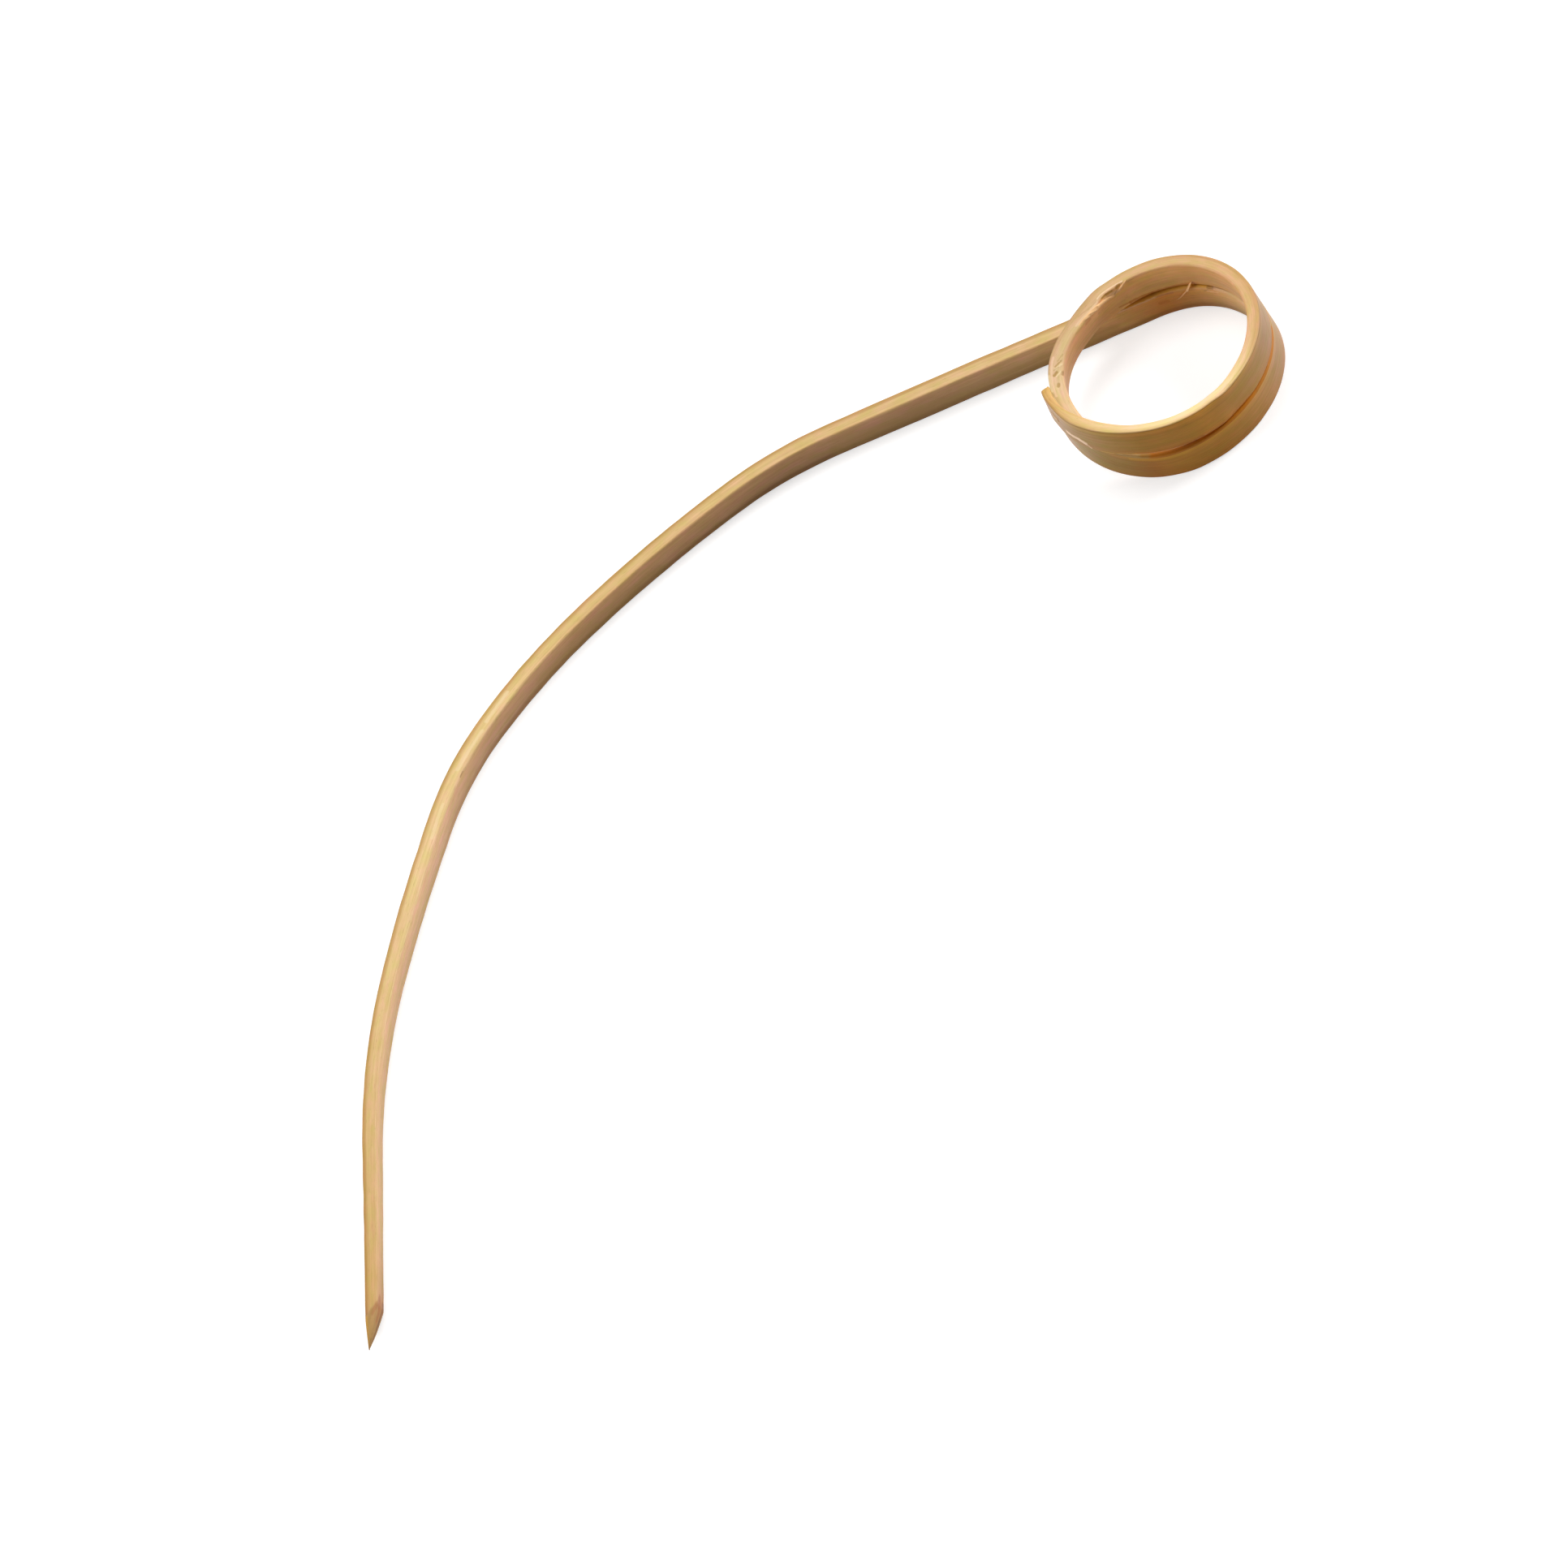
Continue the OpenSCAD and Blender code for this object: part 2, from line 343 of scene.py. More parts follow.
MARKS = [
    # nicks under the rim's inner edge, between the rim and the loose slivers; the first, pale stroke is
    # painted light over the shade that the slivers cast on the wall there
    (on_loop(334, 2.25), on_loop(346, 2.4), 0.25, 0, PALE, 0.5),
    (on_loop(334.6, 1.9), on_loop(337.7, 1.9), 0.12, -0.05, NICK, 0.75),
    (on_loop(337.7, 1.9), on_loop(342.2, 1.98), 0.13, -0.06, NICK, 0.8),
    (on_loop(345.3, 1.98), on_loop(347.9, 1.88), 0.15, -0.06, NICK, 0.8),
    (on_loop(333, 1.35), on_loop(350, 1.66), 0.13, 0.02, PALE, 0.6),
    (on_loop(318, 0.7), on_loop(331, 1.45), 0.09, -0.03, BROWN, 0.25),
    # wrinkles and spots of the climbing piece, which was bent while it was green; the raised cream strokes
    # are painted highlights on the wrinkles' ridges
    (on_loop(289.1, 1.1), on_loop(293.1, 1.48), 0.1, -0.02, UMBER, 0.4),
    (on_loop(285.7, 0.9), on_loop(289.2, 1.47), 0.12, -0.05, UMBER, 0.7),
    (on_loop(284, 0.98), on_loop(287, 1.6), 0.13, 0.04, CREAM, 0.6),
    (on_loop(283.4, 0.75), on_loop(285.2, 1.3), 0.09, -0.02, UMBER, 0.4),
    (on_loop(280.4, 0.78), on_loop(282.2, 1.1), 0.18, -0.05, UMBER, 0.85),
    (on_loop(279.7, 1.08), on_loop(282.5, 1.55), 0.12, 0.04, CREAM, 0.55),
    (on_loop(280.7, 1.75), on_loop(282.1, 1.82), 0.2, -0.06, BROWN, 0.65),
    (on_loop(273.6, 1.05), on_loop(274.8, 1.15), 0.2, -0.03, UMBER, 0.75),
    (on_loop(268, 0.5), on_loop(291, 0.5), 0.15, 0, PALE, 0.45),
    (on_loop(313, 1.3), on_loop(331, 1.65), 0.25, 0, PALE, 0.3),
    # painted light on the outer edge of the climbing piece, where the free end lies against it, over the
    # shade in the gap between them
    (on_loop(260, 9.3), on_loop(280, 9.3), 0.65, 0, CREAM, 0.8),
    (on_loop(260, 0.1), on_loop(280, 0.1), 0.3, 0, CREAM, 0.6),
    # rusty stains on the inner wall of the climbing piece
    (on_loop(317.5, 2.3), on_loop(321, 2.3), 0.22, 0, ORANGE, 0.35),
    (on_loop(329, 2.9), on_loop(332, 2.9), 0.3, 0, RUST, 0.3),
    # seam inside the loop, on the second turn's lower edge and on the stem's top edge: painted shade and
    # orange bounce light in the gap between them, with painted highlights in pale along the edge under it
    (on_loop(341, 4.5), on_loop(348, 4.75), 0.12, 0, ORANGE, 0.6),
    (on_loop(348, 4.75), on_loop(362, 4.98), 0.2, 0, INNER_SEAM_SHADE, 0.8),
    (on_loop(362, 4.98), on_loop(391, 4.9), 0.2, 0, ORANGE, 0.6),
    ((154.5, 1.6), on_loop(38, 1.5), 0.42, 0, AMBER_LIT, 0.9),
    ((153.5, 1.95), (157.6, 2.0), 0.11, 0, PALE, 0.3),
    ((157.6, 2.0), on_loop(13, 2.12), 0.12, 0, RUST, 0.5),
    (on_loop(37, 1.75), on_loop(40, 1.75), 0.2, 0, BROWN, 0.7),
    (on_loop(33, 2.35), on_loop(36.5, 2.05), 0.1, 0, BROWN, 0.4),
    (on_loop(35.5, 2.3), on_loop(43, 2.3), 0.1, 0, PALE, 0.3),
    # soft dark knot on the inside, under the seam
    ((157.6, 3.05), (158.4, 3.15), 0.28, 0, ORANGE, 0.55),
    # seam on the outside: painted shade and orange bounce light in the gap between the turns, along the
    # second turn's lower edge and the first turn's top
    (on_loop(500, 6.7), on_loop(532, 6.72), 0.16, 0, ORANGE, 0.8),
    (on_loop(532, 6.72), on_loop(566, 6.7), 0.27, 0, AMBER, 0.95),
    (on_loop(566, 6.7), on_loop(583, 6.7), 0.2, 0, GOLD, 0.5),
    (on_loop(95, 0.4), on_loop(204, 0.4), 0.6, 0, AMBER, 0.95),
    (on_loop(138, 0.4), on_loop(172, 0.4), 0.6, 0, OUTER_SEAM_SHADE, 0.9),
    (on_loop(120, 0.1), on_loop(200, 0.1), 0.25, 0, AMBER, 0.6),
    (on_loop(204, 0.4), on_loop(214, 0.4), 0.6, 0, UMBER, 0.7),
    (on_loop(150, 9.65), on_loop(212, 9.65), 0.3, 0, GOLD, 0.35),
    # pale fibres along the second turn's lower edge, where it rides up
    (on_loop(602.6, 7.7), on_loop(594.2, 7.68), 0.25, 0.04, PALE, 0.95),
    (on_loop(594.2, 7.68), on_loop(590.9, 7.42), 0.25, 0.04, PALE, 0.9),
    (on_loop(590.9, 7.42), on_loop(588.6, 6.95), 0.14, 0.03, PALE, 0.5),
    # painted shadow, a brown line down the loop's right side
    (on_loop(449, 8.9), on_loop(455, 8.4), 0.1, 0, BROWN, 0.45),
    (on_loop(455, 8.4), on_loop(463, 7.2), 0.13, 0, BROWN, 0.5),
    # browner lower half of the stem's inner wall
    ((84, 4.1), (100, 4.1), 0.9, 0, UMBER, 0.4),
    ((122, 4.0), (152, 4.0), 1.0, 0, UMBER, 0.5),
    # browner outer edge along the low part of the stem
    ((38, 0.1), (74, 0.1), 0.35, 0, UMBER, 0.4),
    ((38, 9.65), (74, 9.65), 0.25, 0, UMBER, 0.4),
    # cream patches and a nick at the stem's main bend
    ((70.8, 1.2), (75.6, 1.35), 0.28, 0, CREAM, 0.5),
    ((76.8, 1.1), (80.5, 1.0), 0.25, 0, CREAM, 0.55),
    ((62.5, 1.4), (66.5, 1.3), 0.24, 0, CREAM, 0.4),
    ((70.1, 1.95), (70.7, 1.9), 0.12, -0.08, BROWN, 0.5),
    # knife-cut point: rusty at the start of the cut, purple down its far edge, golden down its near edge
    ((3.9, 1.25), (5.9, 2.75), 0.35, 0, RUST, 0.55),
    ((4.9, 2.7), (6.1, 3.2), 0.5, 0, RUST, 0.75),
    ((3.4, 3.0), (5.4, 3.4), 0.6, 0, RUST, 0.7),
    ((2.6, 0.5), (4.2, 1.1), 0.3, 0, UMBER, 0.5),
    ((1.2, 4.2), (5.6, 4.5), 0.45, 0, PURPLE, 0.75),
    ((4.0, 4.3), (7.0, 4.5), 0.25, 0, RUST, 0.5),
    ((0.6, 0.4), (3.4, 0.3), 0.25, 0, GOLD, 0.4),
]


def stroke_share(along, place, start, end, half_width):
    """How far inside a stroke a place is, from 0 outside to 1 on its line."""
    line = Vector(end) - Vector(start)
    reach = Vector((along, place)) - Vector(start)
    share = min(1, max(0, reach.dot(line) / line.length_squared))
    return 1 - ease((reach - line * share).length, half_width * STROKE_CORE, half_width * STROKE_EDGE)


DENTS = [(start, end, half_width, height) for start, end, half_width, height, _, _ in MARKS if height]

# Stretches where the strip was split thinner, or thicker where the depth is negative: middle, half length
# and depth, for the outer face, the bottom edge and the top edge
OUTER_THIN = [
    (22, 20, 0.2), (54, 14, 0.12), (103, 8, 0.12), (120, 7, 0.08), (149, 11, 0.26), (217.5, 4, -0.2),
]
BOTTOM_THIN = [(110, 12, 0.1), (148, 15, 0.32), (238, 30, -0.12)]
TOP_THIN = [(168, 22, -0.15), (190, 20, -0.13), (207, 14, -0.1)]

# How much thinner the whole stem is on its outer face, and over what length of the loop that fades
STEM_THIN = 0.05
STEM_THIN_FADE = 8

# Waver of the faces, broad and fine: its height, its changes a millimetre along and round, and its seed
WAVERS = [(0.03, 0.16, 0.5, 2), (0.012, 0.5, 4, 5)]

# How much thicker the free end is on its inner side, and the angles where that begins and is full
END_THICKER = 0.4
END_THICKER_FROM = 603
END_THICKER_FULL = 620


def hollow(along, stretches):
    """Depth that the stretches take away at a distance along the strip."""
    return sum(depth * (1 - ease(abs(along - middle), 0, reach)) for middle, reach, depth in stretches)


def relief(along, place):
    """Height of the surface over the plain strip."""
    height = sum(size * noise.noise(Vector((along * run, place * turn, seed)))
                 for size, run, turn, seed in WAVERS)
    on_outer = max(ease(place, BOTTOM_END, OUTER_START), 1 - ease(place, 0, ARC))
    on_top = ease(place, 0, ARC) - ease(place, TOP_END, INNER_START)
    on_bottom = ease(place, INNER_END, BOTTOM_START) - ease(place, BOTTOM_END, OUTER_START)
    on_inner = ease(place, TOP_END, INNER_START) - ease(place, INNER_END, BOTTOM_START)
    stem_thin = STEM_THIN * ease(along, STEM_LENGTH + STEM_THIN_FADE, STEM_LENGTH)
    height -= on_outer * (hollow(along, OUTER_THIN) + stem_thin)
    height -= on_bottom * hollow(along, BOTTOM_THIN) + on_top * hollow(along, TOP_THIN)
    height += on_inner * END_THICKER * ease(along, along_at(END_THICKER_FROM), along_at(END_THICKER_FULL))
    for start, end, half_width, depth in DENTS:
        if start[0] - 1 < along < end[0] + 1:
            height += depth * stroke_share(along, place, start, end, half_width)
    return height


# The pared point: three knife cuts that meet in the apex

HALF_T, HALF_W = POINT_THICKNESS / 2, POINT_WIDTH / 2
APEX = Vector((HALF_T, 0, 0))
CUTS = [
    (Vector((-HALF_T, HALF_W, SIDE_CUT)) - APEX).cross(Vector((HALF_T, HALF_W, OUTER_CUT)) - APEX),
    (Vector((-HALF_T, -HALF_W, SIDE_CUT)) - APEX).cross(Vector((-HALF_T, HALF_W, SIDE_CUT)) - APEX),
    (Vector((HALF_T, -HALF_W, OUTER_CUT)) - APEX).cross(Vector((-HALF_T, -HALF_W, SIDE_CUT)) - APEX),
]

# The section shrinks towards this place across it, and never under the least share of its size
PARE_EYE = HALF_T - EDGE_ROUND / 2
LEAST_SHARE = 0.05


def pared(point, along):
    """A section point with what the cuts take away left out, and how much they took."""
    share = 1
    for normal in CUTS:
        reach = normal.dot(Vector((point.x - PARE_EYE, point.y, 0)))
        room = normal.dot(APEX - Vector((PARE_EYE, 0, along + CUT_AHEAD)))
        if reach > TINY:
            left = min(1, max(LEAST_SHARE, room / reach))
            share = min(share, left + CUT_BELLY * left * (1 - left))
    return Vector((PARE_EYE + share * (point.x - PARE_EYE), share * point.y)), 1 - share


# The strip and its slivers

def set_places(faces, place_of):
    """The strip's own coordinates on the corners of faces: hundredths along it and tenths round it."""
    for face in faces:
        for loop in face.loops:
            along, place = place_of(loop.vert)
            loop[PLACE_LAYER].uv = (along / 100, place / 10)


def roll_sheet(bm, rows, columns, point_at, place_at, is_loose=0.0):
    """A sheet rolled into a closed bar, from a function that gives each point as (position, share cut)."""
    sheet = bmesh.ops.create_grid(bm, x_segments=columns, y_segments=rows, size=1)["verts"]
    order = sorted(sheet, key=lambda v: (round(v.co.y, 5), v.co.x))
    cells = {v: divmod(i, columns + 1) for i, v in enumerate(order)}
    corners = {cell: v for v, cell in cells.items()}
    cut, loose = bm.verts.layers.float["cut"], bm.verts.layers.float["loose"]
    for v, (row, column) in cells.items():
        v.co, v[cut] = point_at(row, column % columns)
        v[loose] = is_loose
    set_places({face for v in sheet for face in v.link_faces}, lambda v: place_at(*cells[v]))
    seam = {corners[row, columns]: corners[row, 0] for row in range(rows + 1)}
    bmesh.ops.weld_verts(bm, targetmap=seam)
    for row in (0, rows):
        ring = {corners[row, column] for column in range(columns)}
        edges = list({edge for v in ring for edge in v.link_edges if edge.other_vert(v) in ring})
        end = bmesh.ops.contextual_create(bm, geom=edges)["faces"]
        set_places(end, lambda v: place_at(*cells[v]))
        bmesh.ops.poke(bm, faces=end)


END_TORN = 0.14


def roll_strip(bm):
    slices = strip_slices()
    last = len(slices) - 1

    def point_at(row, column):
        part, share = slices[row], 0
        point, facing = section_point(SPOTS[column], part.width, part.thickness, part.rounding)
        point = point + facing * relief(part.along, PLACES[column])
        if part.along < SIDE_CUT:
            point, share = pared(point, part.along)
        torn = END_TORN * noise.noise(Vector((point.x * 3, point.y * 5, 1))) if row == last else 0
        return part.lay(point.x, point.y, torn), share

    def place_at(row, column):
        return slices[row].along, PLACES[column]

    roll_sheet(bm, last, len(SPOTS), point_at, place_at)


def roll_sliver(bm, route, half_width, half_depth):
    """A loose fibre that follows (angle, place, lift) points and thins out to both ends."""
    rows, columns = 18, 8

    def route_at(share):
        reach = share * (len(route) - 1)
        k = min(int(reach), len(route) - 2)
        return [a + (b - a) * (reach - k) for a, b in zip(route[k], route[k + 1])]

    def point_at(row, column):
        share = row / rows
        angle, place, lift = route_at(share)
        swell = max(0.05, sin(pi * share)) ** 0.6
        around = 2 * pi * column / columns
        spot = loop_slice(angle).surface(place + half_width * swell * cos(around),
                                         lift + half_depth * swell * sin(around))
        return spot, 0

    def place_at(row, column):
        angle, place, _ = route_at(row / rows)
        return along_at(angle), place + 0.2 * column / columns

    roll_sheet(bm, rows, columns, point_at, place_at, 1.0)


# Each sliver's route, half width and half depth
SLIVERS = [
    # split off the rim's inner edge, under the nicks
    ([(309, 1.5, -0.05), (317, 1.6, 0.0), (323, 1.75, 0.02), (329, 1.98, 0.04), (335, 2.35, 0.05),
      (340.5, 2.62, 0.03), (344.5, 2.7, -0.08)], 0.25, 0.16),
    ([(341.8, 2.6, -0.05), (345.6, 2.4, 0.03), (349.3, 2.08, 0.05), (353, 1.75, -0.05)], 0.13, 0.13),
    # across the seam inside the loop
    ([(12.5, 3.3, -0.01), (15.5, 3.05, 0.06), (19, 2.55, 0.1), (22.5, 2.0, 0.14), (25.5, 1.75, 0.5),
      (28, 1.7, 0.85)], 0.1, 0.09),
    # short hairs at the seam and the free end
    ([(36, 2.3, -0.02), (39.5, 2.22, 0.03), (43, 2.3, -0.02)], 0.06, 0.06),
    ([(607.4, 8.15, 0.0), (608.6, 8.5, 0.04), (612, 8.5, 0.05), (615.6, 8.72, 0.0)], 0.05, 0.03),
]
SHARP_ANGLE = 50


def make_mesh(bm, name):
    """A mesh in metres, smooth but for its sharp edges."""
    bmesh.ops.scale(bm, vec=(MM, MM, MM), verts=bm.verts)
    mesh = bpy.data.meshes.new(name)
    bm.to_mesh(mesh)
    bm.free()
    for face in mesh.polygons:
        face.use_smooth = True
    mesh.set_sharp_from_angle(angle=radians(SHARP_ANGLE))
    return mesh


bm = bmesh.new()
PLACE_LAYER = bm.loops.layers.uv.new("strip")
bm.verts.layers.float.new("cut")
bm.verts.layers.float.new("loose")
roll_strip(bm)
for route, half_width, half_depth in SLIVERS:
    roll_sliver(bm, route, half_width, half_depth)
bmesh.ops.recalc_face_normals(bm, faces=bm.faces)

# Laid with the line from the point to the loop's middle along X, about the middle of the outline
tip = stem_place(STEM_LENGTH)
LAY_TURN = atan2(-tip[1], -tip[0])
bmesh.ops.rotate(bm, cent=(0, 0, 0), matrix=Matrix.Rotation(-LAY_TURN, 3, "Z"), verts=bm.verts)
xs, ys = [v.co.x for v in bm.verts], [v.co.y for v in bm.verts]
MIDDLE = Vector(((min(xs) + max(xs)) / 2, (min(ys) + max(ys)) / 2, 0))
bmesh.ops.translate(bm, vec=-MIDDLE, verts=bm.verts)
strip = bpy.data.objects.new("strip", make_mesh(bm, "strip"))
bpy.context.scene.collection.objects.link(strip)


# Short calls for building materials

def fill(tree, sockets, values):
    """Set inputs to values, or join them to other nodes."""
    for socket, value in zip(sockets, values):
        if isinstance(value, bpy.types.NodeSocket):
            tree.links.new(value, socket)
        elif value is not None:
            socket.default_value = value


def add_node(tree, kind, inputs=None, **settings):
    """A node with its settings and its inputs, given by name or number."""
    node = tree.nodes.new(kind)
    for name, value in settings.items():
        setattr(node, name, value)
    inputs = inputs or {}
    fill(tree, [node.inputs[name] for name in inputs], inputs.values())
    return node


def maths(tree, operation, first, second=0.0, clamp=False):
    inputs = {0: first, 1: second}
    return add_node(tree, "ShaderNodeMath", inputs, operation=operation, use_clamp=clamp).outputs[0]


def spread(tree, value, low, high, to_low=0.0, to_high=1.0):
    """A value carried smoothly from one range to another."""
    inputs = {"Value": value, "From Min": low, "From Max": high, "To Min": to_low, "To Max": to_high}
    return add_node(tree, "ShaderNodeMapRange", inputs, interpolation_type="SMOOTHSTEP").outputs["Result"]


def band(tree, value, start, full, keep, end):
    """A mask of 1 between two places, which eases out on both sides."""
    return maths(tree, "MULTIPLY", spread(tree, value, start, full), spread(tree, value, keep, end, 1.0, 0.0))


def blend(tree, share, first, second, kind="MIX"):
    """Two colours mixed. A colour given as numbers has no alpha."""
    first, second = [(*c, 1) if isinstance(c, tuple) else c for c in (first, second)]
    node = add_node(tree, "ShaderNodeMix", {0: share}, data_type="RGBA", blend_type=kind)
    fill(tree, [node.inputs[6], node.inputs[7]], (first, second))
    return node.outputs[2]


def times(tree, colour, tint):
    return blend(tree, 1.0, colour, tint, "MULTIPLY")


def tinted(tree, colour, share, first, second):
    """The colour times a tint that goes from one to another with a share."""
    return times(tree, colour, blend(tree, share, first, second))


def tones(tree, value, length, stops):
    """A colour that follows a value, by stops of (value, colour) over a length."""
    node = add_node(tree, "ShaderNodeValToRGB", {0: maths(tree, "DIVIDE", value, length)})
    elements = node.color_ramp.elements
    elements[0].position, elements[0].color = stops[0][0] / length, (*stops[0][1], 1)
    elements[1].position, elements[1].color = stops[-1][0] / length, (*stops[-1][1], 1)
    for place, colour in stops[1:-1]:
        elements.new(place / length).color = (*colour, 1)
    return node.outputs["Color"]


def new_group(name, inputs, output):
    """A node group with named float inputs and one float output."""
    group = bpy.data.node_groups.new(name, "ShaderNodeTree")
    for label in inputs:
        group.interface.new_socket(label, in_out="INPUT", socket_type="NodeSocketFloat")
    group.interface.new_socket(output, in_out="OUTPUT", socket_type="NodeSocketFloat")
    return group, group.nodes.new("NodeGroupInput").outputs, group.nodes.new("NodeGroupOutput").inputs[0]


def use_group(tree, group, values):
    node = add_node(tree, "ShaderNodeGroup", node_tree=group)
    fill(tree, node.inputs, values)
    return node.outputs[0]


def make_fibre_group():
    """Noise drawn out along the strip, from 0 to 1."""
    group, given, result = new_group("fibres", ("Along", "Round", "Length", "Width", "Seed"), "Value")
    vector = add_node(group, "ShaderNodeCombineXYZ", {
        "X": maths(group, "DIVIDE", given["Along"], given["Length"]),
        "Y": maths(group, "DIVIDE", given["Round"], given["Width"]),
        "Z": given["Seed"]})
    inputs = {"Vector": vector.outputs[0], "Scale": 1.0, "Detail": 2.0}
    grain = add_node(group, "ShaderNodeTexNoise", inputs)
    group.links.new(spread(group, grain.outputs["Fac"], 0.25, 0.75), result)
    return group


def make_stroke_group():
    """Mask of a stroke between two places, with a soft edge."""
    labels = ("Along", "Round", "Start Along", "Start Round", "End Along", "End Round", "Half Width")
    group, given, result = new_group("stroke", labels, "Mask")
    run = maths(group, "SUBTRACT", given["End Along"], given["Start Along"])
    rise = maths(group, "SUBTRACT", given["End Round"], given["Start Round"])
    x = maths(group, "SUBTRACT", given["Along"], given["Start Along"])
    y = maths(group, "SUBTRACT", given["Round"], given["Start Round"])
    reach = maths(group, "ADD", maths(group, "MULTIPLY", x, run), maths(group, "MULTIPLY", y, rise))
    length = maths(group, "ADD", maths(group, "MULTIPLY", run, run), maths(group, "MULTIPLY", rise, rise))
    share = maths(group, "DIVIDE", reach, length, clamp=True)
    dx = maths(group, "SUBTRACT", x, maths(group, "MULTIPLY", run, share))
    dy = maths(group, "SUBTRACT", y, maths(group, "MULTIPLY", rise, share))
    squares = maths(group, "ADD", maths(group, "MULTIPLY", dx, dx), maths(group, "MULTIPLY", dy, dy))
    off = maths(group, "DIVIDE", maths(group, "SQRT", squares), given["Half Width"])
    group.links.new(spread(group, off, STROKE_CORE, STROKE_EDGE, 1.0, 0.0), result)
    return group


FIBRES = make_fibre_group()
STROKE = make_stroke_group()

# Colours along the strip, by distance from the point, for the top edge and the two wide faces. The top edge's
# pale stretch from 250 to 257 is partly its own paler colour and partly a painted highlight, and the inner
# face's bright stop at 222 is painted light over the strip's own shadow there
TOP_TONES = [
    (0, (0.5, 0.3, 0.11)), (6, (0.65, 0.4, 0.14)), (18, (0.68, 0.44, 0.17)), (60, (0.82, 0.58, 0.28)),
    (76, (0.78, 0.55, 0.24)), (92, (0.71, 0.48, 0.2)), (150, (0.68, 0.46, 0.21)),
    (204, (0.78, 0.57, 0.33)), (216, (0.7, 0.46, 0.23)), (236, (0.7, 0.43, 0.19)),
    (244, (0.76, 0.48, 0.23)), (250, (0.98, 0.74, 0.4)), (257, (0.96, 0.74, 0.39)),
    (265, (0.84, 0.58, 0.28)), (271, (0.68, 0.42, 0.14)), (275, (0.62, 0.36, 0.08)),
]
INNER_TONES = [
    (0, (0.5, 0.28, 0.12)), (6, (0.65, 0.36, 0.16)), (15, (0.78, 0.48, 0.22)), (60, (0.81, 0.5, 0.28)),
    (76, (0.67, 0.375, 0.2)), (92, (0.63, 0.34, 0.15)), (109, (0.63, 0.34, 0.15)),
    (130, (0.54, 0.285, 0.135)), (146, (0.7, 0.43, 0.19)), (153, (0.7, 0.42, 0.15)),
    (158, (0.7, 0.3, 0.045)), (167, (0.68, 0.39, 0.12)), (208, (0.56, 0.29, 0.13)),
    (216, (0.76, 0.4, 0.14)), (222, (1.0, 0.6, 0.21)), (229, (0.66, 0.34, 0.105)),
    (264, (0.66, 0.37, 0.12)), (269, (0.6, 0.45, 0.19)), (275, (0.57, 0.42, 0.165)),
]
OUTER_TONES = [
    (0, (0.56, 0.34, 0.13)), (160, (0.5, 0.3, 0.13)), (177, (0.42, 0.24, 0.11)),
    (187, (0.6, 0.26, 0.024)), (191, (0.53, 0.23, 0.019)), (194, (0.38, 0.145, 0.011)),
    (196.5, (0.34, 0.17, 0.026)), (199, (0.35, 0.2, 0.04)), (202, (0.46, 0.32, 0.15)),
    (205, (0.6, 0.43, 0.3)), (236, (0.45, 0.275, 0.13)), (243, (0.375, 0.22, 0.108)),
    (248.5, (0.46, 0.245, 0.066)), (254, (0.69, 0.3, 0.037)), (260, (0.42, 0.195, 0.022)),
    (265, (0.42, 0.245, 0.07)), (269.5, (0.5, 0.31, 0.165)), (275, (0.52, 0.31, 0.185)),
]

# Tints at places round the section, partly the faces' own tones and partly painted light and shade, with a
# painted highlight under the inner top corner and painted shade down the inner face; and the highest value in
# them, because a colour stop ends at 1
SECTION_TONES_AND_SHADING = [
    (0, (0.88, 0.84, 0.76)), (0.45, (0.93, 0.9, 0.83)), (0.75, (0.98, 0.97, 0.95)), (1, (1, 1, 1)),
    (1.75, (0.99, 0.99, 0.98)), (2.0, (1.07, 1.07, 1.06)), (2.3, (1.1, 1.09, 1.08)),
    (2.8, (1.03, 1.03, 1.02)), (3.3, (0.97, 0.97, 0.97)), (4.2, (0.86, 0.88, 0.88)),
    (4.9, (0.92, 0.93, 0.86)), (6.5, (1, 0.95, 0.9)), (6.85, (1.05, 0.95, 0.9)), (7.6, (1, 1, 1)),
    (9.1, (1, 1, 1)), (9.45, (1.15, 1.12, 1.1)), (ROUND_LENGTH, (1.3, 1.3, 1.25)),
]
BRIGHTEST = 1.3
PLAIN = (1.0, 1.0, 1.0)

# Clouds of yellow and pink, then broad and fine fibres: length, width, seed, and tints where low and high
GRAIN = {
    "cloud": (2.4, 1.0, 3.0, (1.06, 1.02, 1.14), (0.95, 0.99, 0.84)),
    "blush": (1.7, 0.7, 11.0, (0.97, 1.03, 0.93), (1.03, 0.97, 1.07)),
    "broad": (12.0, 0.24, 5.0, (1.05, 1.06, 1.09), (0.95, 0.93, 0.9)),
    "fine": (5.0, 0.075, 7.0, (1.05, 1.06, 1.09), (0.95, 0.94, 0.91)),
}

# Colours of the bared wood, by distance from the apex, and of the loose slivers
CUT_TONES = [
    (0, (0.4, 0.2, 0.06)), (1.8, (0.5, 0.29, 0.09)), (4.5, (0.58, 0.33, 0.13)), (7, (0.6, 0.34, 0.15)),
]
LOOSE_WOOD = (0.97, 0.6, 0.29)

# How far the edges of the marks wander
FRAY = 0.22


def fibres(tree, along, place, length, width, seed):
    return use_group(tree, FIBRES, (along, place, length, width, seed))


def add_marks(tree, colour, along, place):
    """The colour with all the marks over it, their edges frayed a little."""
    frayed = add_node(tree, "ShaderNodeCombineXYZ", {"X": maths(tree, "MULTIPLY", along, 2.2),
                                                     "Y": maths(tree, "MULTIPLY", place, 5.0)})
    inputs = {"Vector": frayed.outputs[0], "Scale": 1.0, "Detail": 2.0}
    grain = add_node(tree, "ShaderNodeTexNoise", inputs)
    shift = maths(tree, "MULTIPLY", maths(tree, "SUBTRACT", grain.outputs["Fac"], 0.5), FRAY)
    moved = maths(tree, "ADD", place, shift)
    for start, end, half_width, _, tint, strength in MARKS:
        mask = use_group(tree, STROKE, (along, moved, *start, *end, half_width))
        colour = blend(tree, maths(tree, "MULTIPLY", mask, strength), colour, tint)
    return colour


